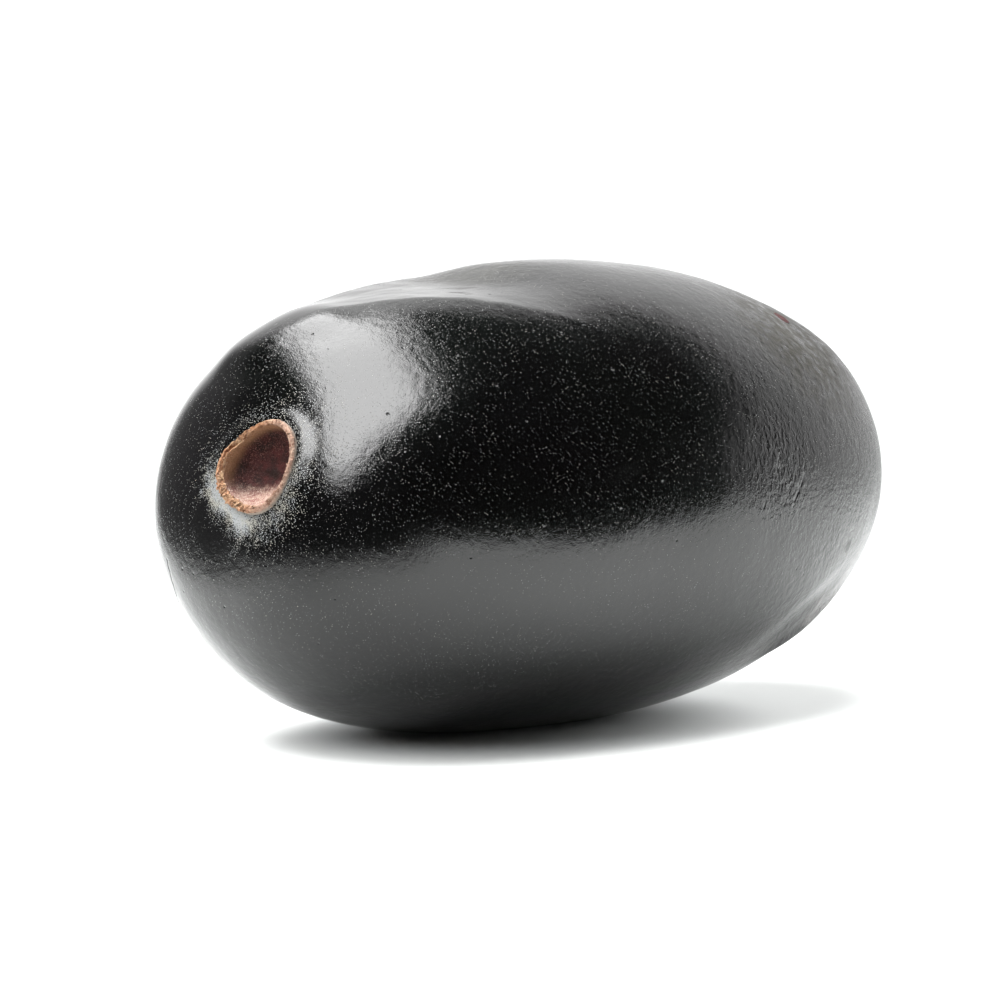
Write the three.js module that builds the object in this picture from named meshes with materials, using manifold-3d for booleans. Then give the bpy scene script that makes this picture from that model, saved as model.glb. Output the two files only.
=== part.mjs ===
// A jamun, or Java plum: one ripe fruit, picked and lying on its side.
//
// The fruit is a blunt, slightly flattened oblong. The flower's calyx tube has dried into a raised corky rim
// round a shallow cup, a little above the middle of one end. The other end has the shallow scar that the
// fruit stalk left. Skin, rim and scar grew as one piece, so the fruit is one closed solid.
//
// Frame: millimetres, +Z up. The fruit's long axis is level and runs along X, with the calyx end at -X. The
// origin is on the surface that the fruit rests on, straight under the middle of that axis.
import * as THREE from "three";
import { mergeVertices } from "three/addons/utils/BufferGeometryUtils.js";
import Module from "manifold-3d";

const wasm = await Module();
wasm.setup();

// Driving dimensions. Lengths are in millimetres.
const FRUIT_LENGTH = 31.7;
const FRUIT_WIDTH = 18.25;
const FRUIT_HEIGHT = 17.8;
const CALYX_END_BLUNTNESS = 2.75; // superellipse exponent of the outline towards -X: 2 is an ellipse
const STEM_END_BLUNTNESS = 2.1; // the same towards +X, where the fruit narrows more
const AXIS_HEIGHT = 8.74; // a little under half the fruit's height, because the belly rests flattened
const SKIN_SECTORS = 64;
const SKIN_RINGS = 44;

// The calyx rim's centre lies off the fruit's long axis, and its own axis leans up and to one side.
const CALYX_ASIDE = -2.1; // along Y
const CALYX_ABOVE = 2.45; // above the long axis
const CALYX_TILT_DEG = 18.2; // how far the rim's axis points above the fruit's long axis
const CALYX_TURN_DEG = 9.9; // and how far towards -Y
const RIM_RADIUS = 1.75;
const RIM_THICKNESS = 0.36;
const RIM_HEIGHT = 0.27;
const RIM_SINK = 0.16; // how far the rim's base plane lies below the skin at its centre
const RIM_FOOT = 0.9; // how far the rim's wall reaches down into the fruit below that plane
const CUP_DEPTH = 0.85;
const CUP_FLOOR_RADIUS = 0.6;
const CUP_STEPS = 7;
const RIM_SECTORS = 48;

const STEM_SCAR_RADIUS = 1.15;
const STEM_SCAR_DEPTH = 0.35;
const SCAR_BALL_SECTORS = 40;
const SCAR_BALL_RINGS = 28;

// Swells and hollows of the skin, from the middle of the long axis: where each lies, the way it runs, half its
// length and half its width, and how far the skin stands out there. A hollow's height is negative.
const SKIN_FORMS = [
  { at: [-8.9, 0.1, 8.2], runs: [0.83, -0.5, 0.2], length: 4.4, width: 0.8, height: -0.26 }, // top groove
  { at: [-11.6, 1.3, 7.1], runs: [0.84, -0.2, 0.5], length: 2.4, width: 0.9, height: 0.12 }, // ridge before it
  { at: [-4.2, -0.4, 8.8], runs: [0.97, -0.2, 0], length: 3.6, width: 1.6, height: 0.16 }, // swell behind it
  { at: [9.4, -5.5, -5.0], runs: [0.63, -0.02, 0.7], length: 2.6, width: 0.7, height: 0.13 }, // stem end crease
  { at: [6.2, -7.2, -4.5], runs: [0.6, 0.2, 0.7], length: 1.6, width: 0.9, height: -0.1 }, // hollow beside it
];

// The blunt oblong, from a point of the unit sphere whose poles lie on X: the sphere is puffed out to a
// superellipse, then stretched to the fruit's length, width and height.
function oblongPoint(onSphere) {
  const bluntness = onSphere.x < 0 ? CALYX_END_BLUNTNESS : STEM_END_BLUNTNESS;
  const fromAxis = Math.hypot(onSphere.y, onSphere.z);
  const puff = (Math.abs(onSphere.x) ** bluntness + fromAxis ** bluntness) ** (-1 / bluntness);
  const half = new THREE.Vector3(FRUIT_LENGTH, FRUIT_WIDTH, FRUIT_HEIGHT).multiplyScalar(0.5);
  return onSphere.clone().multiply(half).multiplyScalar(puff);
}

// How far the skin stands out of the plain oblong at a point.
function skinHeight(point) {
  let height = 0;
  for (const form of SKIN_FORMS) {
    const away = point.clone().sub(new THREE.Vector3(...form.at));
    const runs = new THREE.Vector3(...form.runs).normalize();
    const lengthwise = away.dot(runs);
    const sideways = Math.sqrt(Math.max(away.lengthSq() - lengthwise ** 2, 0));
    height += form.height * Math.exp(-((lengthwise / form.length) ** 2) - (sideways / form.width) ** 2);
  }
  return height;
}

function skinGeometry() {
  const geometry = new THREE.SphereGeometry(1, SKIN_SECTORS, SKIN_RINGS);
  geometry.rotateZ(Math.PI / 2);
  const position = geometry.getAttribute("position");
  const onSphere = new THREE.Vector3();
  for (let i = 0; i < position.count; i++) {
    onSphere.fromBufferAttribute(position, i);
    const point = oblongPoint(onSphere);
    const outwards = point.clone().normalize();
    point.addScaledVector(outwards, skinHeight(point));
    position.setXYZ(i, point.x, point.y, point.z);
  }
  return geometry;
}

// A closed mesh as a manifold-3d solid, placed by a matrix.
function solidOf(geometry, matrix = new THREE.Matrix4()) {
  const bare = geometry.clone().applyMatrix4(matrix);
  bare.deleteAttribute("normal");
  bare.deleteAttribute("uv");
  const merged = mergeVertices(bare, 1e-4);
  return new wasm.Manifold(
    new wasm.Mesh({
      numProp: 3,
      vertProperties: merged.getAttribute("position").array,
      triVerts: new Uint32Array(merged.index.array),
    }),
  );
}

function geometryOf(solid) {
  const mesh = solid.getMesh();
  const geometry = new THREE.BufferGeometry();
  geometry.setAttribute("position", new THREE.BufferAttribute(mesh.vertProperties, 3));
  geometry.setIndex(new THREE.BufferAttribute(mesh.triVerts, 1));
  geometry.computeVertexNormals();
  return geometry;
}

// A lathe turned from [radius, height] pairs, its axis laid along Z instead of Y.
function turned(profile) {
  const points = profile.map(([radius, height]) => new THREE.Vector2(radius, height));
  return new THREE.LatheGeometry(points, RIM_SECTORS).rotateX(Math.PI / 2);
}

// The corky rim: a low plug with a rounded shoulder, its foot sunk in the fruit. The cup hollows it out.
function rimGeometry() {
  const shoulder = RIM_THICKNESS * 0.35;
  return turned([
    [0, -RIM_FOOT],
    [RIM_RADIUS, -RIM_FOOT],
    [RIM_RADIUS, RIM_HEIGHT - shoulder],
    [RIM_RADIUS - shoulder * 0.3, RIM_HEIGHT - shoulder * 0.3],
    [RIM_RADIUS - shoulder, RIM_HEIGHT],
    [0, RIM_HEIGHT],
  ]);
}

// What is hollowed out of the rim: a bowl with a rounded floor, open at the top.
function cupGeometry() {
  const mouth = RIM_RADIUS - RIM_THICKNESS;
  const rise = CUP_DEPTH + RIM_HEIGHT;
  const above = RIM_HEIGHT + 2;
  const profile = [[0, -CUP_DEPTH]];
  for (let i = 0; i <= CUP_STEPS; i++) {
    const turn = (i / CUP_STEPS) * (Math.PI / 2);
    const radius = CUP_FLOOR_RADIUS + (mouth - CUP_FLOOR_RADIUS) * Math.sin(turn);
    profile.push([radius, -CUP_DEPTH + rise * (1 - Math.cos(turn))]);
  }
  profile.push([mouth, above], [0, above]);
  return turned(profile);
}

// The scar of the stalk: a shallow bowl, cut by a squat ball.
function stemScarGeometry() {
  const ball = (STEM_SCAR_RADIUS ** 2 + STEM_SCAR_DEPTH ** 2) / (2 * STEM_SCAR_DEPTH);
  const geometry = new THREE.SphereGeometry(ball, SCAR_BALL_SECTORS, SCAR_BALL_RINGS);
  return geometry.translate(FRUIT_LENGTH / 2 + ball - STEM_SCAR_DEPTH, 0, 0);
}

// Where the rim stands: on the skin of the calyx end, with its own Z turned to point out of the fruit.
function calyxPlace() {
  const tilt = THREE.MathUtils.degToRad(CALYX_TILT_DEG);
  const turn = THREE.MathUtils.degToRad(CALYX_TURN_DEG);
  const outwards = new THREE.Vector3(-Math.cos(turn), -Math.sin(turn), Math.tan(tilt)).normalize();
  const fromAxis = Math.hypot(CALYX_ASIDE / (FRUIT_WIDTH / 2), CALYX_ABOVE / (FRUIT_HEIGHT / 2));
  const along = (1 - fromAxis ** CALYX_END_BLUNTNESS) ** (1 / CALYX_END_BLUNTNESS);
  const centre = new THREE.Vector3((-FRUIT_LENGTH * along) / 2, CALYX_ASIDE, CALYX_ABOVE);
  centre.addScaledVector(outwards, -RIM_SINK);
  const facing = new THREE.Quaternion().setFromUnitVectors(new THREE.Vector3(0, 0, 1), outwards);
  return new THREE.Matrix4().compose(centre, facing, new THREE.Vector3(1, 1, 1));
}

function wholeFruit() {
  const grown = solidOf(skinGeometry())
    .add(solidOf(rimGeometry(), calyxPlace()))
    .subtract(solidOf(cupGeometry(), calyxPlace()))
    .subtract(solidOf(stemScarGeometry()));
  return geometryOf(grown);
}

// Raises the fruit's axis to its height, and cuts the lowest part of the belly flat.
function laidDown(geometry) {
  geometry.translate(0, 0, AXIS_HEIGHT);
  const underground = new THREE.BoxGeometry(FRUIT_LENGTH, FRUIT_WIDTH, 2);
  underground.translate(0, 0, -1);
  return geometryOf(solidOf(geometry).subtract(solidOf(underground)));
}

const skin = new THREE.MeshStandardMaterial({ color: 0x0d0b10, roughness: 0.28, metalness: 0 });

const jamun = new THREE.Group();
const fruit = new THREE.Mesh(laidDown(wholeFruit()), skin);
fruit.name = "fruit";
jamun.add(fruit);

export default jamun;
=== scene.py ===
"""A jamun, or Java plum: one ripe fruit, picked and lying on its side on a pale table.

The fruit's long axis runs along X, and the calyx end is at -X. Sizes are in metres.
"""
import math

import bpy
from mathutils import Matrix, Vector, noise as noise_at


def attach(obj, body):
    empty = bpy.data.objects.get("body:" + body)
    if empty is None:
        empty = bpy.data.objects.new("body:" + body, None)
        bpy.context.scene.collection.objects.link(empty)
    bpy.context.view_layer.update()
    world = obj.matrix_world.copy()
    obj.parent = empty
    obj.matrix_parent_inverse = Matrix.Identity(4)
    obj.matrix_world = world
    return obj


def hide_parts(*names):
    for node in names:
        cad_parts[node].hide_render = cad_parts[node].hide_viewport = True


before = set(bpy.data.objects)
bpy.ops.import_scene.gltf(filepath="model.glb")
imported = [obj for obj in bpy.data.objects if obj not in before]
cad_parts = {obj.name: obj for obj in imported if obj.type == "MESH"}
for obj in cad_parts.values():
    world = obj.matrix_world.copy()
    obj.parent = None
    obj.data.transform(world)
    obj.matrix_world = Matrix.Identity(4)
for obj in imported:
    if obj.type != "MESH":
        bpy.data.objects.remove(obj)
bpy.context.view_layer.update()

MM = 0.001

# ---------------------------------------------------------------------------------------------------------
# The skin: a thin waxy peel, drawn tight over soft flesh that grew as one blunt oblong. Its own weight has
# pressed a small flat spot into the belly, and the peel has begun to pucker round the end that hung from the
# stalk.
# ---------------------------------------------------------------------------------------------------------
FRUIT_LENGTH = 31.7 * MM
FRUIT_WIDTH = 18.25 * MM
FRUIT_HEIGHT = 17.8 * MM
CALYX_END_BLUNTNESS = 2.75  # superellipse exponent of the outline towards -X: 2 is an ellipse
STEM_END_BLUNTNESS = 2.1
CENTRE_HEIGHT = 8.74 * MM
SKIN_SQUARES = 128  # along each side of the cube that is blown up into the skin

CALYX_ASIDE = -2.1 * MM
CALYX_ABOVE = 2.45 * MM
CALYX_TILT = math.radians(18.2)
CALYX_TURN = math.radians(9.9)
CALYX_RADIUS = 1.75 * MM
SCAR_RADIUS = 1.0 * MM
SCAR_DEPTH = 0.3 * MM

# Swells and hollows, in millimetres from the middle of the long axis: where each lies, the way it runs, half
# its length and width, and how far it stands out.
SKIN_FORMS = [
    {"at": (-0.6, 0.8, 9.0), "runs": (0.85, -0.4, 0), "length": 3.4, "width": 2.6, "height": 0.08},
    {"at": (9.3, -5.0, -5.4), "runs": (0.87, -0.02, 0.49), "length": 2.4, "width": 0.34, "height": 0.17},
    {"at": (8.2, -6.2, -4.9), "runs": (0.8, 0.1, 0.55), "length": 2.2, "width": 0.75, "height": -0.2},
    {"at": (10.9, -4.2, -5.0), "runs": (0.7, 0.3, 0.6), "length": 1.6, "width": 0.7, "height": -0.08},
    {"at": (9.6, -3.9, 6.1), "runs": (0.1, -0.6, -0.7), "length": 2.4, "width": 0.9, "height": -0.06},
    {"at": (12.3, -5.6, -0.8), "runs": (0.1, 0, 1), "length": 1.0, "width": 0.5, "height": -0.06},
    {"at": (12.5, -3.4, 4.6), "runs": (0.3, -0.25, -0.9), "length": 2.6, "width": 1.6, "height": 0.14},
]

# The fold beside the calyx: where the line of its shoulder passes over the top, the way it runs, and the way
# back from it, where the skin has sunk until it lies level.
FOLD_AT = Vector((-8.24, -1.62, 0)) * MM
FOLD_RUNS = Vector((0.849, -0.529, 0))
FOLD_BACK = Vector((0.529, 0.849, 0))


class Field:
    """A number that nodes work out. Ordinary arithmetic on it adds Math nodes to its tree."""

    def __init__(self, tree, socket):
        self.tree = tree
        self.socket = socket

    def math(self, operation, *others):
        node = self.tree.nodes.new("ShaderNodeMath")
        node.operation = operation
        for place, value in enumerate((self, *others)):
            plug(self.tree, value, node.inputs[place])
        return Field(self.tree, node.outputs[0])

    def __add__(self, other):
        return self.math("ADD", other)

    def __sub__(self, other):
        return self.math("SUBTRACT", other)

    def __mul__(self, other):
        return self.math("MULTIPLY", other)

    def __truediv__(self, other):
        return self.math("DIVIDE", other)

    def __pow__(self, other):
        return self.math("POWER", other)

    def __rmul__(self, other):
        return self.math("MULTIPLY", other)

    def __neg__(self):
        return self.math("MULTIPLY", -1.0)

    def ramp(self, low, high):
        """0 below low and 1 above high, and smooth between them."""
        node = self.tree.nodes.new("ShaderNodeMapRange")
        node.interpolation_type = "SMOOTHERSTEP"
        plug(self.tree, self, node.inputs["Value"])
        plug(self.tree, low, node.inputs["From Min"])
        plug(self.tree, high, node.inputs["From Max"])
        return Field(self.tree, node.outputs["Result"])


def plug(tree, value, socket):
    """Gives a socket a field, another socket or a plain value."""
    if isinstance(value, Field):
        value = value.socket
    if isinstance(value, bpy.types.NodeSocket):
        tree.links.new(value, socket)
    else:
        socket.default_value = value


def add_node(tree, kind, inputs=None, **settings):
    node = tree.nodes.new(kind)
    for name, value in settings.items():
        setattr(node, name, value)
    for name, value in (inputs or {}).items():
        plug(tree, value, node.inputs[name])
    return node


def vector_math(tree, operation, *values):
    node = tree.nodes.new("ShaderNodeVectorMath")
    node.operation = operation
    for place, value in enumerate(values):
        if operation == "SCALE" and place == 1:
            plug(tree, value, node.inputs["Scale"])
        else:
            plug(tree, value, node.inputs[place])
    number = operation in {"LENGTH", "DOT_PRODUCT"}
    return Field(tree, node.outputs["Value"]) if number else node.outputs["Vector"]


def split(tree, vector):
    node = add_node(tree, "ShaderNodeSeparateXYZ", {"Vector": vector})
    return [Field(tree, output) for output in node.outputs]


def join(tree, x, y, z):
    return add_node(tree, "ShaderNodeCombineXYZ", {"X": x, "Y": y, "Z": z}).outputs["Vector"]


def noise(tree, where, size, detail=2.0, distortion=0.0):
    """Noise from -1 to 1 whose lumps are about size across."""
    node = add_node(
        tree,
        "ShaderNodeTexNoise",
        {"Vector": where, "Scale": 1 / size, "Detail": detail, "Distortion": distortion},
    )
    return (Field(tree, node.outputs[0]) - 0.5) * 2.0


def new_tree(name, inputs):
    """A geometry tree with one output and a named number input for each size it works from."""
    tree = bpy.data.node_groups.new(name, "GeometryNodeTree")
    tree.interface.new_socket(name="Geometry", in_out="OUTPUT", socket_type="NodeSocketGeometry")
    for label, kind in inputs.items():
        tree.interface.new_socket(name=label, in_out="INPUT", socket_type=kind)
    source = tree.nodes.new("NodeGroupInput")
    return tree, {label: Field(tree, source.outputs[label]) for label in inputs}


def grown(name, tree, values, material, ground=None):
    """A plain mesh object of what a geometry tree makes from ground and from the values of its inputs."""
    seed = bpy.data.objects.new(name + "_seed", bpy.data.meshes.new(name + "_seed"))
    bpy.context.scene.collection.objects.link(seed)
    if ground:
        seed.data = ground.data
    modifier = seed.modifiers.new("growth", "NODES")
    modifier.node_group = tree
    for item in tree.interface.items_tree:
        if item.in_out == "INPUT" and item.name in values:
            modifier[item.identifier] = values[item.name]
    bpy.context.view_layer.update()
    shape = seed.evaluated_get(bpy.context.evaluated_depsgraph_get())
    mesh = bpy.data.meshes.new_from_object(shape)
    bpy.data.objects.remove(seed)
    mesh.name = name
    mesh.materials.clear()
    mesh.materials.append(material)
    piece = bpy.data.objects.new(name, mesh)
    bpy.context.scene.collection.objects.link(piece)
    return piece


def calyx_place():
    """The middle of the calyx on the skin, and the ways it faces, points up and points aside."""
    from_axis = math.hypot(CALYX_ASIDE * 2 / FRUIT_WIDTH, CALYX_ABOVE * 2 / FRUIT_HEIGHT)
    along = (1 - from_axis**CALYX_END_BLUNTNESS) ** (1 / CALYX_END_BLUNTNESS)
    middle = Vector((-FRUIT_LENGTH / 2 * along, CALYX_ASIDE, CENTRE_HEIGHT + CALYX_ABOVE))
    facing = Vector((-math.cos(CALYX_TURN), -math.sin(CALYX_TURN), math.tan(CALYX_TILT))).normalized()
    up = (Vector((0, 0, 1)) - facing * facing.z).normalized()
    return middle, facing, up, facing.cross(up)


def calyx_outline(cosine, sine):
    """The calyx's outer edge isn't round: flatter at its upper far side, fuller at its upper near side."""
    wave = 0.05 * cosine - 0.26 * sine * cosine - 0.11 * (3 * sine - 4 * sine * sine * sine)
    return wave * MM + CALYX_RADIUS


def calyx_share(tree, where):
    """How far a point lies from the middle of the calyx: 0 there, 1 on its outline, and more outside it.
    With it come the cosine and the sine of the way there, turning from up to the far side."""
    middle, facing, up, aside = calyx_place()
    away = vector_math(tree, "SUBTRACT", where, middle)
    rise = vector_math(tree, "DOT_PRODUCT", away, up)
    shift = vector_math(tree, "DOT_PRODUCT", away, aside)
    distance = (rise * rise + shift * shift) ** 0.5
    on_this_end = vector_math(tree, "DOT_PRODUCT", away, facing).ramp(-8 * MM, -5 * MM)
    cosine = rise / distance
    sine = shift / distance
    share = distance / calyx_outline(cosine, sine)
    return share * on_this_end + (-on_this_end + 1.0) * 20.0, cosine, sine


def scar_share(tree, where):
    """How far a point lies from the middle of the stalk's scar, in shares of the scar's radius."""
    away = vector_math(tree, "SUBTRACT", where, Vector((FRUIT_LENGTH / 2, 0, CENTRE_HEIGHT)))
    return vector_math(tree, "LENGTH", away) / SCAR_RADIUS


def form_height(tree, where, form):
    """How far one swell or hollow lifts the skin at a point."""
    runs = Vector(form["runs"]).normalized()
    place = Vector(form["at"]) * MM + Vector((0, 0, CENTRE_HEIGHT))
    away = vector_math(tree, "SUBTRACT", where, place)
    lengthwise = vector_math(tree, "DOT_PRODUCT", away, runs)
    distance = vector_math(tree, "LENGTH", away)
    sideways_squared = distance * distance - lengthwise * lengthwise
    spread = (lengthwise / (form["length"] * MM)) ** 2.0 + sideways_squared / (form["width"] * MM) ** 2
    return (spread * -1.0).math("EXPONENT") * (form["height"] * MM)


def fold_place(tree, where):
    """How far a point lies along the line of the fold's shoulder, and how far behind it."""
    from_shoulder = vector_math(tree, "SUBTRACT", where, FOLD_AT)
    lengthwise = vector_math(tree, "DOT_PRODUCT", from_shoulder, FOLD_RUNS)
    waver = noise(tree, where, 1.3 * MM, 1.0) * 0.12 * MM
    return lengthwise, vector_math(tree, "DOT_PRODUCT", from_shoulder, FOLD_BACK) + waver


def fold_height(tree, where, size):
    """How far the fold lifts its shoulder at a point, less how far the skin has sunk behind it."""
    lengthwise, behind = fold_place(tree, where)
    back_to_shoulder = vector_math(tree, "SCALE", FOLD_BACK, -behind)
    shoulder_x, shoulder_y, _ = split(tree, vector_math(tree, "ADD", where, back_to_shoulder))
    bluntness = size["Calyx end bluntness"]
    girth = (-((shoulder_x * -2.0 / size["Length"]) ** bluntness) + 1.0) ** (bluntness**-1.0)
    aside = shoulder_y * 2.0 / size["Width"]
    shoulder_height = (girth * girth - aside * aside) ** 0.5 * size["Height"] * 0.5 + size["Centre height"]
    high = split(tree, where)[2]
    above = (high - shoulder_height - behind * 0.008).math("MAXIMUM", 0.0)
    on_top = high.ramp(CENTRE_HEIGHT + 5 * MM, CENTRE_HEIGHT + 6.5 * MM)
    back_edge = behind - lengthwise.ramp(6 * MM, -1.5 * MM) * 4 * MM
    shelf = behind.ramp(-0.1 * MM, 0.12 * MM) * back_edge.ramp(6.2 * MM, 1.6 * MM)
    sunk = above * shelf * lengthwise.ramp(-4.2 * MM, -2 * MM) * lengthwise.ramp(9 * MM, 0.5 * MM)
    lip = behind.ramp(-2.4 * MM, 0.0) * behind.ramp(4.4 * MM, 0.0)
    lip = lip * lengthwise.ramp(-9 * MM, -6.5 * MM) * lengthwise.ramp(-1 * MM, -3.4 * MM)
    return (lip * size["Fold lip"] - sunk) * on_top


def skin_tree():
    tree, size = new_tree(
        "jamun skin",
        {
            "Length": "NodeSocketFloat",
            "Width": "NodeSocketFloat",
            "Height": "NodeSocketFloat",
            "Calyx end bluntness": "NodeSocketFloat",
            "Stem end bluntness": "NodeSocketFloat",
            "Centre height": "NodeSocketFloat",
            "Squares": "NodeSocketInt",
            "Scar depth": "NodeSocketFloat",
            "Undulation": "NodeSocketFloat",
            "Ripple": "NodeSocketFloat",
            "Fold lip": "NodeSocketFloat",
        },
    )
    # A cube of small squares, blown up to a ball, then stretched and puffed out to the blunt oblong.
    side = size["Squares"] + 1.0
    corners = {"Vertices X": side, "Vertices Y": side, "Vertices Z": side}
    cube = add_node(tree, "GeometryNodeMeshCube", corners)
    corner = tree.nodes.new("GeometryNodeInputPosition").outputs["Position"]
    evened = vector_math(tree, "TANGENT", vector_math(tree, "SCALE", corner, math.pi / 2))
    ball = vector_math(tree, "NORMALIZE", evened)
    x, y, z = split(tree, ball)
    towards_stem = x.math("GREATER_THAN", 0.0)
    calyx_end = size["Calyx end bluntness"]
    bluntness = calyx_end + (size["Stem end bluntness"] - calyx_end) * towards_stem
    from_axis = (y * y + z * z) ** 0.5
    puff = (x.math("ABSOLUTE") ** bluntness + from_axis**bluntness) ** -(bluntness**-1.0)
    half = vector_math(tree, "SCALE", join(tree, size["Length"], size["Width"], size["Height"]), 0.5)
    oblong = vector_math(tree, "SCALE", vector_math(tree, "MULTIPLY", ball, half), puff)
    raised = vector_math(tree, "ADD", oblong, join(tree, 0.0, 0.0, size["Centre height"]))
    squares = cube.outputs["Mesh"]
    plain = add_node(tree, "GeometryNodeSetPosition", {"Geometry": squares, "Position": raised})

    # Swells, hollows and the slow unevenness of a thing that grew.
    where = tree.nodes.new("GeometryNodeInputPosition").outputs["Position"]
    height = noise(tree, where, 5.0 * MM, 2.0) * size["Undulation"]
    along = split(tree, where)[0]
    puckered = along.ramp(1 * MM, 13 * MM)
    round_girth = vector_math(tree, "MULTIPLY", where, Vector((1, 0.3, 0.3)))
    height = height + noise(tree, where, 1.1 * MM, 3.0) * size["Ripple"]
    height = height + noise(tree, round_girth, 0.7 * MM, 2.0) * size["Ripple"] * puckered * 2.0
    for form in SKIN_FORMS:
        height = height + form_height(tree, where, form)
    height = height + fold_height(tree, where, size)
    share, _, _ = calyx_share(tree, where)
    pit = share.ramp(0.97, 0.78) * -1.8 * MM
    collar = share.ramp(1.4, 1.0) * 0.1 * MM
    scar = scar_share(tree, where)
    dimple = scar.ramp(1.5, 0.5) * -size["Scar depth"] + scar.ramp(0.8, 0.6) * -0.35 * MM
    height = height + pit + collar + dimple
    outwards = tree.nodes.new("GeometryNodeInputNormal").outputs["Normal"]
    lift = vector_math(tree, "SCALE", outwards, height)
    smooth_skin = plain.outputs["Geometry"]
    uneven = add_node(tree, "GeometryNodeSetPosition", {"Geometry": smooth_skin, "Offset": lift})

    # Flattened where it meets the table.
    px, py, pz = split(tree, tree.nodes.new("GeometryNodeInputPosition").outputs["Position"])
    level = pz.math("SMOOTH_MAX", 0.0, 0.1 * MM)
    laid = add_node(
        tree,
        "GeometryNodeSetPosition",
        {"Geometry": uneven.outputs["Geometry"], "Position": join(tree, px, py, level)},
    )
    smooth = add_node(tree, "GeometryNodeSetShadeSmooth", {"Geometry": laid.outputs["Geometry"]})
    finish_tree(tree, smooth.outputs["Geometry"], skin_finish)
    return tree


def finish_tree(tree, geometry, material):
    real = add_node(tree, "GeometryNodeRealizeInstances", {"Geometry": geometry})
    bare = real.outputs["Geometry"]
    coat = add_node(tree, "GeometryNodeSetMaterial", {"Geometry": bare, "Material": material})
    output = tree.nodes.new("NodeGroupOutput")
    tree.links.new(coat.outputs["Geometry"], output.inputs["Geometry"])


def new_finish(name):
    """A material with a Principled shader, its tree, and the point on the piece that patterns read."""
    material = bpy.data.materials.new(name)
    material.use_nodes = True
    tree = material.node_tree
    where = tree.nodes.new("ShaderNodeTexCoord").outputs["Object"]
    return material, tree, tree.nodes["Principled BSDF"], where


def mixed(tree, factor, first, second):
    node = add_node(tree, "ShaderNodeMix", {0: factor}, data_type="RGBA")
    plug(tree, first, node.inputs[6])
    plug(tree, second, node.inputs[7])
    return node.outputs[2]


def cells(tree, where, size):
    """Scattered spots, about one in each cube of this size: the distance from the nearest, in shares of the
    size, and a number from 0 to 1 that is that spot's own."""
    spots = add_node(tree, "ShaderNodeTexVoronoi", {"Vector": where, "Scale": 1 / size})
    own = split(tree, spots.outputs["Color"])[0]
    return Field(tree, spots.outputs["Distance"]), own


def nearby(tree, where, place, reach):
    """1 at a place given in millimetres from the middle of the long axis, and 0 at its reach from there."""
    spot = Vector(place) * MM + Vector((0, 0, CENTRE_HEIGHT))
    away = vector_math(tree, "LENGTH", vector_math(tree, "SUBTRACT", where, spot)) / (reach * MM)
    return away.ramp(1.0, 0.15)


def from_line(tree, where, first, last):
    """The distance from a straight line between two places, both in millimetres from the middle."""
    start = Vector(first) * MM + Vector((0, 0, CENTRE_HEIGHT))
    reach = (Vector(last) - Vector(first)) * MM
    away = vector_math(tree, "SUBTRACT", where, start)
    along = (vector_math(tree, "DOT_PRODUCT", away, reach) / reach.length_squared).math("MINIMUM", 1.0)
    nearest = vector_math(tree, "SCALE", reach, along.math("MAXIMUM", 0.0))
    return vector_math(tree, "LENGTH", vector_math(tree, "SUBTRACT", away, nearest))


# Where the peel is marked, in millimetres from the middle of the long axis.
RED_SCAB = (9.8, -3.3, 6.4)
DRYING_PATCH = (9.0, -4.6, 5.4)
CREASE_PATCH = (10.4, -4.7, -5.2)
WRINKLE_PATCH = (4.9, -8.4, 1.2)
HUMP_PATCH = (-2.4, 1.0, 9.0)
DARK_SPOTS = [(10.0, -6.9, -2.2), (11.1, -6.0, -1.4), (10.9, -5.6, 2.6)]
CRACKS = [
    ((-15.29, 3.45, -1.6), (-15.13, 3.36, -2.44)),
    ((-15.1, 3.3, -2.5), (-14.74, 3.37, -3.43)),
    ((6.3, -8.4, 1.0), (5.6, -8.6, 0.1)),
    ((4.9, -8.55, 1.9), (4.6, -8.7, 1.2)),
]
SCRATCH = ((-8.81, -5.39, 6.3), (-8.31, -6.47, 5.41))


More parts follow.
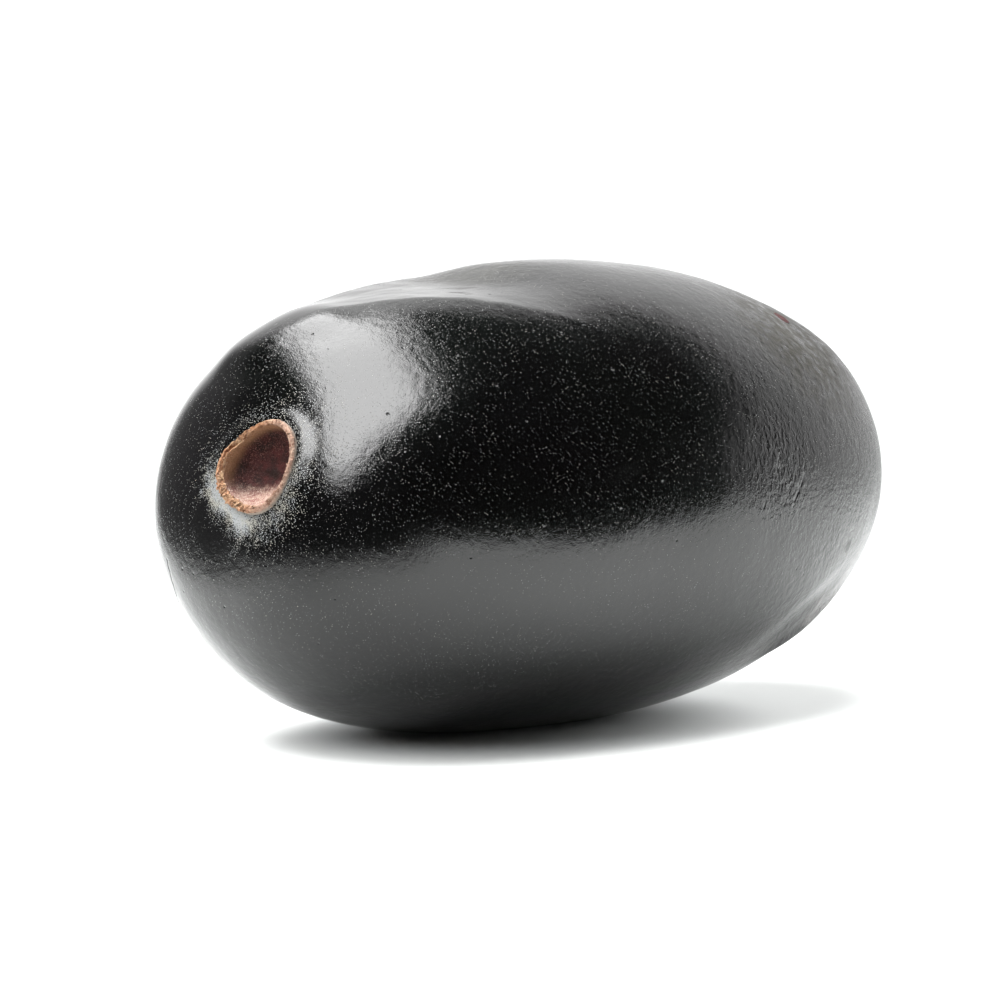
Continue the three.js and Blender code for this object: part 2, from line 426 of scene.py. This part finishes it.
def ripe_skin_finish():
    material, tree, shader, where = new_finish("ripe skin")
    along = split(tree, where)[0]
    puckered = along.ramp(0.0, 13 * MM)
    share, cosine, sine = calyx_share(tree, where)
    patchy = noise(tree, where, 0.9 * MM, 3.0) * 0.35
    mottle = noise(tree, where, 0.45 * MM, 4.0)

    # The peel is nearly black. It has dried brown in two places and been grazed in one, and has a red scab.
    tint = noise(tree, where, 6 * MM, 3.0).ramp(-0.5, 0.5)
    peel = mixed(tree, tint, (0.0011, 0.0008, 0.0011, 1), (0.0008, 0.0011, 0.0009, 1))
    drying = nearby(tree, where, DRYING_PATCH, 5.0) * (mottle + 0.3).ramp(-0.2, 0.7)
    peel = mixed(tree, drying, peel, (0.014, 0.012, 0.006, 1))
    humped = nearby(tree, where, HUMP_PATCH, 3.6) * (mottle + 0.4).ramp(-0.2, 0.5)
    peel = mixed(tree, humped, peel, (0.014, 0.014, 0.011, 1))
    grazed = nearby(tree, where, CREASE_PATCH, 2.8) * mottle.ramp(-0.4, 0.4)
    peel = mixed(tree, grazed, peel, (0.1, 0.09, 0.088, 1))
    scab = (nearby(tree, where, RED_SCAB, 0.6) + mottle * 0.2).ramp(0.3, 0.6)
    peel = mixed(tree, scab, peel, (0.03, 0.004, 0.004, 1))
    dark = scab * 1.2
    for place in DARK_SPOTS:
        dark = dark + nearby(tree, where, place, 0.45) * 0.4

    # Grains of pale wax and dust lie on it: few on most of the fruit, and so thick round the calyx that they
    # make a bloom there, which is thickest below it and thinnest on its far side.
    patch_below = (cosine * -0.7 + sine * 0.7).ramp(0.4, 1.0) * 0.42
    thickness = cosine * -0.12 + sine * -0.12 + 0.38 + patch_below
    halo = (share + patchy * 1.3).ramp(2.2, 0.95) * thickness
    haze = (share + patchy * 2.0).ramp(5.0, 1.4)
    drifts = noise(tree, where, 1.6 * MM, 3.0) * 0.12
    near_grain, grain_size = cells(tree, where, 0.05 * MM)
    film = noise(tree, where, 0.04 * MM, 1.0)
    grain = near_grain.ramp(0.65, 0.1) * grain_size * 0.75 + film * 0.5
    bloom = (grain + halo + haze * 0.06 + drifts - 0.52).ramp(0.0, 0.45)
    scratch = from_line(tree, where, *SCRATCH).ramp(0.035 * MM, 0.01 * MM)
    cool = noise(tree, where, 0.5 * MM, 2.0).ramp(-0.4, 0.4)
    wax = mixed(tree, cool, (0.29, 0.28, 0.245, 1), (0.26, 0.27, 0.275, 1))
    peel = mixed(tree, bloom.math("MAXIMUM", scratch * 0.12), peel, wax)
    plug(tree, peel, shader.inputs["Base Color"])
    shader.inputs["IOR"].default_value = 1.46
    gloss_loss = bloom * 0.3 + dark * 0.5 + humped * 0.06 + drying * 0.35
    roughness = noise(tree, where, 2 * MM, 3.0) * 0.03 + puckered * 0.12 + 0.11 + gloss_loss
    plug(tree, roughness, shader.inputs["Roughness"])

    # Its relief: the grain, short wrinkles that run round the fruit, a few pits and cracks. Where the skin
    # has sunk behind the fold, it's drawn smooth.
    lengthwise, behind = fold_place(tree, where)
    smoothed = behind.ramp(-0.3 * MM, 0.2 * MM) * behind.ramp(6 * MM, 3 * MM)
    smoothed = smoothed * lengthwise.ramp(-9 * MM, -7 * MM) * lengthwise.ramp(5 * MM, 3 * MM)
    across = vector_math(tree, "MULTIPLY", where, Vector((1, 0.6, 0.6)))
    wrinkled = nearby(tree, where, WRINKLE_PATCH, 3.4)
    wrinkles = noise(tree, across, 0.08 * MM, 2.0) * MM * (puckered * 0.012 + 0.001)
    pucker_height = (wrinkled * 0.036 + puckered * 0.014) * MM
    puckers = noise(tree, across, 0.2 * MM, 3.0, distortion=0.6) * pucker_height
    leather_height = (humped * 0.016 + drying * 0.04 + puckered * 0.014 + 0.007) * MM
    leather = noise(tree, where, 0.32 * MM, 3.0) * leather_height
    fine_relief = (grain * 0.003 + bloom * 0.003) * MM + wrinkles + leather
    near_pit, own = cells(tree, where, 0.7 * MM)
    pits = near_pit.ramp(0.12, 0.0) * own.ramp(0.3, 1.0) * -0.04 * MM
    relief = fine_relief * (-smoothed * 0.9 + 1.0) + puckers + pits + scab * 0.1 * MM
    for first, last in CRACKS:
        crooked = from_line(tree, where, first, last) + mottle.math("ABSOLUTE") * 0.12 * MM
        relief = relief + crooked.ramp(0.12 * MM, 0.03 * MM) * -0.06 * MM
    bump = add_node(tree, "ShaderNodeBump", {"Height": relief / MM, "Distance": MM})
    plug(tree, bump.outputs["Normal"], shader.inputs["Normal"])
    return material


skin_finish = ripe_skin_finish()
skin = grown(
    "jamun_skin",
    skin_tree(),
    {
        "Length": FRUIT_LENGTH,
        "Width": FRUIT_WIDTH,
        "Height": FRUIT_HEIGHT,
        "Calyx end bluntness": CALYX_END_BLUNTNESS,
        "Stem end bluntness": STEM_END_BLUNTNESS,
        "Centre height": CENTRE_HEIGHT,
        "Squares": SKIN_SQUARES,
        "Scar depth": SCAR_DEPTH,
        "Undulation": 0.05 * MM,
        "Ripple": 0.008 * MM,
        "Fold lip": 0.24 * MM,
    },
    skin_finish,
)
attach(skin, "root")
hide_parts("fruit")

# ---------------------------------------------------------------------------------------------------------
# The calyx: what is left of the flower. Its tube has dried to a thin, corky rim that stands just proud of the
# skin, round a cup a millimetre deep. It grew as part of the fruit, so its foot is sunk in the flesh. On its
# far side the rim has split into two lips, and below it has crumbled.
# ---------------------------------------------------------------------------------------------------------
RIM_TURNS = 360
RIM_STEPS = 80
RIM_HEIGHT = 0.26 * MM
CUP_DEPTH = 1.0 * MM
RIM_SINK = 0.15 * MM

# Across the rim, from its buried foot to the middle of the cup: how far in from the outer edge, as a share of
# the radius, and how high, as a share of the rim's height above the skin or the cup's depth below it.
RIM_PROFILE = [
    (0.02, -0.75),
    (-0.02, -0.3),
    (-0.01, 0.1),
    (0.0, 0.6),
    (0.03, 0.93),
    (0.07, 1.0),
    (0.11, 0.88),
    (0.135, 0.45),
    (0.15, 0.0),
    (0.2, -0.35),
    (0.31, -0.68),
    (0.47, -0.88),
    (0.7, -0.98),
    (0.9, -1.0),
    (1.0, -1.0),
]
RIM_INNER_EDGE = 0.15  # where the profile turns down into the cup


def along_profile(profile, share):
    """A smooth curve through the profile's points, from 0 at the first to 1 at the last."""
    place = share * (len(profile) - 1)
    left = min(int(place), len(profile) - 2)
    t = place - left
    before = profile[max(left - 1, 0)]
    after = profile[min(left + 2, len(profile) - 1)]
    values = []
    for p0, p1, p2, p3 in zip(before, profile[left], profile[left + 1], after):
        bend = (2 * p0 - 5 * p1 + 4 * p2 - p3) * t**2 + (3 * p1 - p0 - 3 * p2 + p3) * t**3
        values.append(p1 + 0.5 * ((p2 - p0) * t + bend))
    return values


def towards(turn, degrees):
    """1 on the side of the calyx at an angle from its top, and 0 from a quarter turn away."""
    return max(0.0, math.cos(turn - math.radians(degrees)))


def rim_point(turn, share):
    """How far out from the middle of the calyx a point of the rim lies, and how high, in metres."""
    inset, level = along_profile(RIM_PROFILE, share)
    crumbled = towards(turn, 160) ** 2
    split_open = math.exp(-(((math.degrees(turn) - 80) / 34) ** 2))
    thickness = 0.85 + 0.4 * crumbled + 0.9 * split_open
    if inset < RIM_INNER_EDGE:
        inset *= thickness
    else:
        inset += (thickness - 1) * RIM_INNER_EDGE * (1 - inset) / (1 - RIM_INNER_EDGE)
    round_way = Vector((math.cos(turn), math.sin(turn), 0))
    ragged = noise_at.noise(round_way * 2.3 + Vector((0, 0, 5)))
    torn = noise_at.noise(round_way * 8 + Vector((3, 0, share * 5)))
    frayed = noise_at.noise(round_way * 22 + Vector((0, 4, share * 16)))
    layers = noise_at.noise(round_way * 5 + Vector((0, 7, share * 60)))
    on_rim = max(0.0, 1 - abs(share - 0.37) / 0.2)
    outwards = 0.05 * torn + 0.03 * layers + crumbled * (0.14 * frayed + 0.07 * layers) + 0.035 * frayed
    upwards = 0.1 * ragged + 0.05 * torn + 0.04 * layers + crumbled * (0.18 * frayed + 0.12 * torn) - 0.04
    crevice = split_open * math.exp(-(((inset - 0.13) / 0.035) ** 2)) * -0.28
    inner_lip = split_open * math.exp(-(((inset - 0.2) / 0.03) ** 2)) * 0.13
    radius = calyx_outline(round_way.x, round_way.y) * (1 - inset) + on_rim * outwards * MM
    height = level * (RIM_HEIGHT if level > 0 else CUP_DEPTH)
    height += (on_rim * upwards + crevice + inner_lip) * MM
    lumps = noise_at.noise(round_way * (radius / (0.3 * MM)))
    streaks = noise_at.noise(round_way * 9 + Vector((0, 0, radius / (1.2 * MM))))
    height += (0.035 * lumps + 0.04 * streaks * (1 - inset)) * min(1.0, inset * 4) * MM
    return max(radius, 0), height


def closed_rings(name, rings, behind, middle):
    """A closed mesh of rings of points, from the outermost to the innermost. A point behind closes the first
    ring, and one in the middle closes the last."""
    count = len(rings[0])
    points = [point for ring in rings for point in ring] + [behind, middle]
    faces = []
    for step in range(len(rings) - 1):
        outer, inner = step * count, (step + 1) * count
        for i in range(count):
            j = (i + 1) % count
            faces.append((outer + i, outer + j, inner + j, inner + i))
    for i in range(count):
        j = (i + 1) % count
        faces.append((inner + i, inner + j, len(points) - 1))
        faces.append((j, i, len(points) - 2))
    mesh = bpy.data.meshes.new(name)
    mesh.from_pydata(points, [], faces)
    mesh.shade_smooth()
    return mesh


def calyx_mesh():
    middle, facing, up, aside = calyx_place()
    middle = middle - facing * RIM_SINK
    rings = []
    shares = []
    crumbs = []
    for step in range(RIM_STEPS - 1):
        share = step / (RIM_STEPS - 1)
        ring = []
        for i in range(RIM_TURNS):
            turn = 2 * math.pi * i / RIM_TURNS
            radius, height = rim_point(turn, share)
            ring.append(middle + (up * math.cos(turn) + aside * math.sin(turn)) * radius + facing * height)
            shares.append(share)
            on_crest = max(0.0, 1 - abs(share - 0.33) / 0.13)
            crumbs.append(on_crest * (towards(turn, 160) ** 3 + 0.12))
        rings.append(ring)
    mesh = closed_rings("calyx_rim", rings, middle - facing * CUP_DEPTH * 1.5, middle - facing * CUP_DEPTH)
    across = mesh.attributes.new("across", "FLOAT", "POINT")
    across.data.foreach_set("value", shares + [0.0, 1.0])
    crumbling = mesh.attributes.new("crumbling", "FLOAT", "POINT")
    crumbling.data.foreach_set("value", crumbs + [0.0, 0.0])
    return mesh


def dry_tissue_finish():
    material, tree, shader, where = new_finish("dry calyx")
    across = Field(tree, add_node(tree, "ShaderNodeAttribute", attribute_name="across").outputs["Fac"])
    share, cosine, sine = calyx_share(tree, where)
    patches = noise(tree, where, 0.5 * MM, 3.0).ramp(-0.4, 0.4)
    fine = noise(tree, where, 0.045 * MM, 2.0)

    # The rim: straw-coloured cork, pinker on the near side, browner in its crevices, with pale scurf on it.
    # Wax from the skin's bloom has crept up its foot.
    straw = mixed(tree, patches, (0.33, 0.16, 0.08, 1), (0.42, 0.27, 0.16, 1))
    straw = mixed(tree, sine.ramp(0.3, -0.6) * 0.7, straw, (0.36, 0.24, 0.195, 1))
    brown = noise(tree, where, 0.13 * MM, 3.0).ramp(0.1, -0.4)
    rim = mixed(tree, brown * 0.8, straw, (0.13, 0.045, 0.02, 1))
    rim = mixed(tree, fine.ramp(0.1, 0.5) * 0.6, rim, (0.7, 0.58, 0.44, 1))
    foot = across.ramp(0.24, 0.14) * across.ramp(0.0, 0.02)
    rim = mixed(tree, foot * 0.7, rim, (0.25, 0.24, 0.21, 1))

    # The stalk's scar, on the other end, is darker.
    stem_end = split(tree, where)[0].ramp(0.0, 5 * MM)
    rim = mixed(tree, stem_end * 0.75, rim, (0.11, 0.06, 0.035, 1))

    # The cup: dark and reddish in its depth, tan under the rim on the far side, and pale with dust below.
    depth = mixed(tree, patches, (0.014, 0.006, 0.005, 1), (0.06, 0.016, 0.015, 1))
    depth = mixed(tree, fine.ramp(0.0, 0.45) * share.ramp(0.1, 0.9), depth, (0.26, 0.12, 0.1, 1))
    under_rim = across.ramp(0.68, 0.56)
    tan_wall = under_rim * (cosine * 0.75 + sine * 0.65).ramp(-0.1, 0.7)
    cup = mixed(tree, tan_wall * 0.85, depth, (0.32, 0.17, 0.09, 1))
    streaks = noise(tree, vector_math(tree, "MULTIPLY", where, Vector((0.3, 1, 1))), 0.12 * MM, 3.0)
    low_wall = (share * (cosine * -0.95 - sine * 0.15) + streaks * 0.12).ramp(0.1, 0.6)
    dusty = mixed(tree, streaks.ramp(-0.4, 0.4), (0.27, 0.12, 0.1, 1), (0.42, 0.29, 0.23, 1))
    cup = mixed(tree, low_wall, cup, dusty)
    cup = mixed(tree, fine.ramp(0.0, 0.4) * low_wall * 0.8, cup, (0.72, 0.64, 0.54, 1))
    colour = mixed(tree, across.ramp(0.46, 0.54), rim, cup)
    plug(tree, colour, shader.inputs["Base Color"])
    plug(tree, patches * 0.15 + 0.6, shader.inputs["Roughness"])
    shader.inputs["Specular IOR Level"].default_value = 0.25
    grain = noise(tree, where, 0.08 * MM, 3.0)
    bump = add_node(tree, "ShaderNodeBump", {"Height": grain, "Distance": 0.045 * MM})
    plug(tree, bump.outputs["Normal"], shader.inputs["Normal"])
    return material


dry_tissue = dry_tissue_finish()
calyx = bpy.data.objects.new("calyx_rim", calyx_mesh())
calyx.data.materials.append(dry_tissue)
bpy.context.scene.collection.objects.link(calyx)
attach(calyx, "root")
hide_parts("fruit")

# ---------------------------------------------------------------------------------------------------------
# The flakes of the rim: scales of dry cork that have come half loose where it has crumbled. They stick in its
# cracks, and most lie on its lower side.
# ---------------------------------------------------------------------------------------------------------
FLAKES_PER_SQUARE_MM = 260
FLAKE_LENGTH = 0.085 * MM
FLAKE_SEED = 7


def flake_tree():
    tree, size = new_tree(
        "rim flakes",
        {
            "Rim": "NodeSocketGeometry",
            "Flakes per square metre": "NodeSocketFloat",
            "Flake length": "NodeSocketFloat",
            "Seed": "NodeSocketInt",
        },
    )
    crumbling = add_node(tree, "GeometryNodeInputNamedAttribute", {"Name": "crumbling"}, data_type="FLOAT")
    crowding = Field(tree, crumbling.outputs["Attribute"]) * size["Flakes per square metre"]
    spots = add_node(
        tree,
        "GeometryNodeDistributePointsOnFaces",
        {"Mesh": size["Rim"], "Density": crowding, "Seed": size["Seed"]},
        distribute_method="RANDOM",
    )
    flake = add_node(tree, "GeometryNodeMeshIcoSphere", {"Radius": size["Flake length"], "Subdivisions": 1})
    flat = add_node(
        tree,
        "GeometryNodeTransform",
        {"Geometry": flake.outputs["Mesh"], "Scale": Vector((1.0, 0.6, 0.22))},
    )
    lean = add_node(
        tree,
        "FunctionNodeRandomValue",
        {0: Vector((-0.9, -0.9, -3.1)), 1: Vector((0.9, 0.9, 3.1)), "Seed": size["Seed"]},
        data_type="FLOAT_VECTOR",
    )
    turned = add_node(
        tree,
        "FunctionNodeRotateRotation",
        {"Rotation": spots.outputs["Rotation"], "Rotate By": lean.outputs[0]},
        rotation_space="LOCAL",
    )
    growth = add_node(
        tree,
        "FunctionNodeRandomValue",
        {0: Vector((0.5, 0.5, 0.6)), 1: Vector((1.5, 1.3, 1.3)), "Seed": size["Seed"] + 1.0},
        data_type="FLOAT_VECTOR",
    )
    flakes = add_node(
        tree,
        "GeometryNodeInstanceOnPoints",
        {
            "Points": spots.outputs["Points"],
            "Instance": flat.outputs["Geometry"],
            "Rotation": turned.outputs["Rotation"],
            "Scale": growth.outputs[0],
        },
    )
    finish_tree(tree, flakes.outputs["Instances"], dry_tissue)
    return tree


flakes = grown(
    "rim_flakes",
    flake_tree(),
    {
        "Flakes per square metre": FLAKES_PER_SQUARE_MM / MM**2,
        "Flake length": FLAKE_LENGTH,
        "Seed": FLAKE_SEED,
    },
    dry_tissue,
    ground=calyx,
)
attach(flakes, "root")
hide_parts("fruit")

# ---------------------------------------------------------------------------------------------------------
# The scar of the stalk: a round corky patch in a dimple of the stem end, with a lip where the stalk broke off
# and the stump of its core in the middle.
# ---------------------------------------------------------------------------------------------------------
SCAR_TURNS = 120
SCAR_PROFILE = [
    (1.06, -0.25),
    (1.04, 0.02),
    (0.98, 0.16),
    (0.88, 0.2),
    (0.78, 0.12),
    (0.66, 0.03),
    (0.5, 0.0),
    (0.34, 0.02),
    (0.27, 0.1),
    (0.2, 0.12),
    (0.1, 0.07),
]
SCAR_STEPS = 44


def scar_mesh():
    middle = Vector((FRUIT_LENGTH / 2 - SCAR_DEPTH, 0, CENTRE_HEIGHT))
    facing = Vector((1, 0, 0))
    rings = []
    for step in range(SCAR_STEPS):
        reach, level = along_profile(SCAR_PROFILE, step / (SCAR_STEPS - 1))
        ring = []
        for i in range(SCAR_TURNS):
            turn = 2 * math.pi * i / SCAR_TURNS
            round_way = Vector((0, -math.sin(turn), math.cos(turn)))
            uneven = noise_at.noise(round_way * 1.7) * 0.07 + noise_at.noise(round_way * 7) * 0.03
            lumps = noise_at.noise(round_way * reach * 4 + Vector((5, 0, 0)))
            spokes = noise_at.noise(round_way * 11 + Vector((reach * 2, 0, 0)))
            height = level + (0.05 * lumps + 0.03 * spokes) * min(1.0, reach * 3)
            radius = reach * (1 + uneven) * SCAR_RADIUS * 0.9
            ring.append(middle + round_way * radius + facing * height * MM)
        rings.append(ring)
    return closed_rings("stalk_scar", rings, middle - facing * 0.6 * MM, middle + facing * 0.05 * MM)


scar = bpy.data.objects.new("stalk_scar", scar_mesh())
scar.data.materials.append(dry_tissue)
bpy.context.scene.collection.objects.link(scar)
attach(scar, "root")
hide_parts("fruit")

# ---------------------------------------------------------------------------------------------------------
# The table: a white sheet of board, level and matt, with painted shade that darkens its white towards the
# back.
# It fades away a little in front of the fruit, so that the dark side of the room shows in the belly, as it
# does where a board ends.
# ---------------------------------------------------------------------------------------------------------
CAMERA_AZIMUTH = math.radians(-40.5)
CAMERA_ELEVATION = math.radians(7.4)
RIGHT = Vector((math.cos(CAMERA_AZIMUTH), math.sin(CAMERA_AZIMUTH), 0))
NEAR = Vector((math.sin(CAMERA_AZIMUTH), -math.cos(CAMERA_AZIMUTH), 0))
UP = Vector((0, 0, 1))


def studio(right, near, up):
    """A place in the studio, as the camera sees it: to its right, towards it, and up from the table."""
    return RIGHT * right + NEAR * near + UP * up


# The board's outline, in millimetres to the camera's right and towards the camera: where its white is still
# full, and where it has faded away.
TABLE_OUTLINE = [
    ((-23, -300), (-58, -300)),
    ((-23, 2), (-54, 6)),
    ((-16, 13), (-36, 40)),
    ((-6, 19), (-14, 52)),
    ((6, 24), (8, 54)),
    ((22, 44), (32, 92)),
    ((29, 44), (46, 70)),
    ((29, 14), (46, 22)),
    ((300, 2), (300, 14)),
    ((300, -300), (300, -300)),
]


def faded_sheet(name, outline, height):
    """A level sheet. Its attribute "full" is 1 inside an outline's first points, and 0 at its second."""
    inner = [studio(*first, height) for first, _ in outline]
    outer = [studio(*second, height) for _, second in outline]
    count = len(outline)
    faces = [tuple(range(count))]
    for i in range(count):
        j = (i + 1) % count
        faces.append((i, count + i, count + j, j))
    sheet_mesh = bpy.data.meshes.new(name)
    sheet_mesh.from_pydata(inner + outer, [], faces)
    full = sheet_mesh.attributes.new("full", "FLOAT", "POINT")
    full.data.foreach_set("value", [1.0] * count + [0.0] * count)
    sheet = bpy.data.objects.new(name, sheet_mesh)
    bpy.context.scene.collection.objects.link(sheet)
    return sheet


def read_full(tree):
    """How full a faded sheet is at a point."""
    return Field(tree, add_node(tree, "ShaderNodeAttribute", attribute_name="full").outputs["Fac"])


table = faded_sheet("table", [[(x * MM, y * MM) for x, y in pair] for pair in TABLE_OUTLINE], 0)
white_board, board_tree, board_shader, board_where = new_finish("white board")
# Painted shade: the board's white is scaled down from the front towards the back, standing in for light that
# falls off there.
painted_back_shade = vector_math(board_tree, "DOT_PRODUCT", board_where, NEAR).ramp(-75 * MM, 5 * MM) * 0.5 + 0.31
board_colour = vector_math(board_tree, "SCALE", Vector((0.988, 1.008, 1.0)), painted_back_shade)
plug(board_tree, board_colour, board_shader.inputs["Base Color"])
board_shader.inputs["Roughness"].default_value = 0.9
board_shader.inputs["Specular IOR Level"].default_value = 0.0
plug(board_tree, read_full(board_tree).ramp(0.0, 1.0), board_shader.inputs["Alpha"])
table.data.materials.append(white_board)

# ---------------------------------------------------------------------------------------------------------
# The light: one big softbox overhead, which only its mirror image in the skin shows, three soft lamps that
# light the board and the fruit, a white backdrop behind, and a dark room on the camera's side.
# ---------------------------------------------------------------------------------------------------------
SOFTBOX_HEIGHT = 0.5
# The outline of its cloth, as shares of its height: where it still glows fully, and where it has faded away.
SOFTBOX_OUTLINE = [
    ((-0.8, 1.75), (-0.95, 2.6)),
    ((-0.42, 1.58), (-0.3, 1.8)),
    ((-0.13, 1.2), (-0.05, 1.3)),
    ((0.08, 0.77), (0.17, 0.84)),
    ((0.23, 0.49), (0.32, 0.54)),
    ((0.29, 0.33), (0.38, 0.34)),
    ((0.22, 0.15), (0.3, 0.1)),
    ((0.1, -0.12), (0.17, -0.16)),
    ((-0.01, -0.45), (0.06, -0.5)),
    ((-0.14, -0.74), (-0.08, -0.8)),
    ((-0.3, -0.98), (-0.28, -1.08)),
    ((-0.46, -0.92), (-0.54, -1.0)),
    ((-0.44, -0.44), (-0.5, -0.44)),
    ((-0.39, 0.12), (-0.46, 0.12)),
    ((-0.4, 0.39), (-0.47, 0.38)),
    ((-0.48, 0.68), (-0.56, 0.66)),
    ((-0.63, 1.03), (-0.72, 0.98)),
]

cloth_outline = [[(x * SOFTBOX_HEIGHT, y * SOFTBOX_HEIGHT) for x, y in pair] for pair in SOFTBOX_OUTLINE]
softbox = faded_sheet("softbox", cloth_outline, SOFTBOX_HEIGHT)
softbox.visible_camera = False
softbox.visible_diffuse = False
softbox.visible_shadow = False
lit_cloth = bpy.data.materials.new("lit cloth")
lit_cloth.use_nodes = True
cloth_tree = lit_cloth.node_tree
cloth_tree.nodes.clear()
cloth_spot = cloth_tree.nodes.new("ShaderNodeTexCoord").outputs["Object"]
nearness = vector_math(cloth_tree, "DOT_PRODUCT", cloth_spot, NEAR)
brightness = nearness.ramp(-1.0 * SOFTBOX_HEIGHT, 0.8 * SOFTBOX_HEIGHT) * 6.0 + 9.5
strength = brightness * read_full(cloth_tree)
glowing = add_node(cloth_tree, "ShaderNodeEmission", {"Strength": strength})
cloth_output = cloth_tree.nodes.new("ShaderNodeOutputMaterial")
cloth_tree.links.new(glowing.outputs["Emission"], cloth_output.inputs["Surface"])
softbox.data.materials.append(lit_cloth)


def soft_lamp(name, azimuth, elevation, strength, spread):
    """A far lamp, at an angle to the camera's right and above the board, that isn't seen in the skin."""
    lamp_data = bpy.data.lights.new(name, "SUN")
    lamp_data.energy = strength
    lamp_data.angle = spread
    lamp = bpy.data.objects.new(name, lamp_data)
    bpy.context.scene.collection.objects.link(lamp)
    level = math.cos(elevation)
    to_lamp = studio(math.sin(azimuth) * level, math.cos(azimuth) * level, math.sin(elevation))
    lamp.matrix_world = to_lamp.to_track_quat("Z", "Y").to_matrix().to_4x4()
    lamp.visible_glossy = False


soft_lamp("left_lamp", math.radians(-61), math.radians(41), 4.3, math.radians(50))
soft_lamp("back_lamp", math.radians(145), math.radians(20), 6.9, math.radians(40))
soft_lamp("top_lamp", math.radians(-109), math.radians(74), 7.0, math.radians(56))

world = bpy.data.worlds.new("studio")
world.use_nodes = True
bpy.context.scene.world = world
room = world.node_tree
background = room.nodes["Background"]
way = room.nodes.new("ShaderNodeTexCoord").outputs["Generated"]
rightwards = vector_math(room, "DOT_PRODUCT", way, RIGHT)
nearwards = vector_math(room, "DOT_PRODUCT", way, NEAR)
upwards = split(room, way)[2]
behind = nearwards.ramp(0.02, -0.1)
top_edge = (upwards + nearwards * 0.9 - 0.2).ramp(0.07, -0.07)
backdrop = behind * top_edge * (upwards.ramp(0.3, 0.6) * 0.3 + 1.0)
glow = backdrop * (rightwards.ramp(-0.55, -0.15) * 1.1 + 0.15) + 0.08
seen = Field(room, room.nodes.new("ShaderNodeLightPath").outputs["Is Camera Ray"])
plug(room, glow + (-glow + 1.3) * seen, background.inputs["Strength"])
background.inputs["Color"].default_value = (1, 1, 1, 1)

# ---------------------------------------------------------------------------------------------------------
# The camera: far off, with a long lens, a little above the fruit and turned to its calyx end. It aims just to
# the left of the fruit's middle and just below it.
# ---------------------------------------------------------------------------------------------------------
CAMERA_DISTANCE = 305.8 * MM
CAMERA_LENS = 286.0
AIM_RIGHT = -1.38 * MM
AIM_UP = -0.27 * MM

camera_data = bpy.data.cameras.new("camera")
camera_data.lens = CAMERA_LENS
camera_data.sensor_width = 36.0
camera_data.clip_start = 0.01
camera = bpy.data.objects.new("camera", camera_data)
bpy.context.scene.collection.objects.link(camera)
back = NEAR * math.cos(CAMERA_ELEVATION) + UP * math.sin(CAMERA_ELEVATION)
camera_up = UP * math.cos(CAMERA_ELEVATION) - NEAR * math.sin(CAMERA_ELEVATION)
target = UP * CENTRE_HEIGHT + RIGHT * AIM_RIGHT + camera_up * AIM_UP
turn_to_fruit = back.to_track_quat("Z", "Y").to_matrix().to_4x4()
camera.matrix_world = Matrix.Translation(target + back * CAMERA_DISTANCE) @ turn_to_fruit
bpy.context.scene.camera = camera
bpy.context.scene.view_settings.view_transform = "Standard"
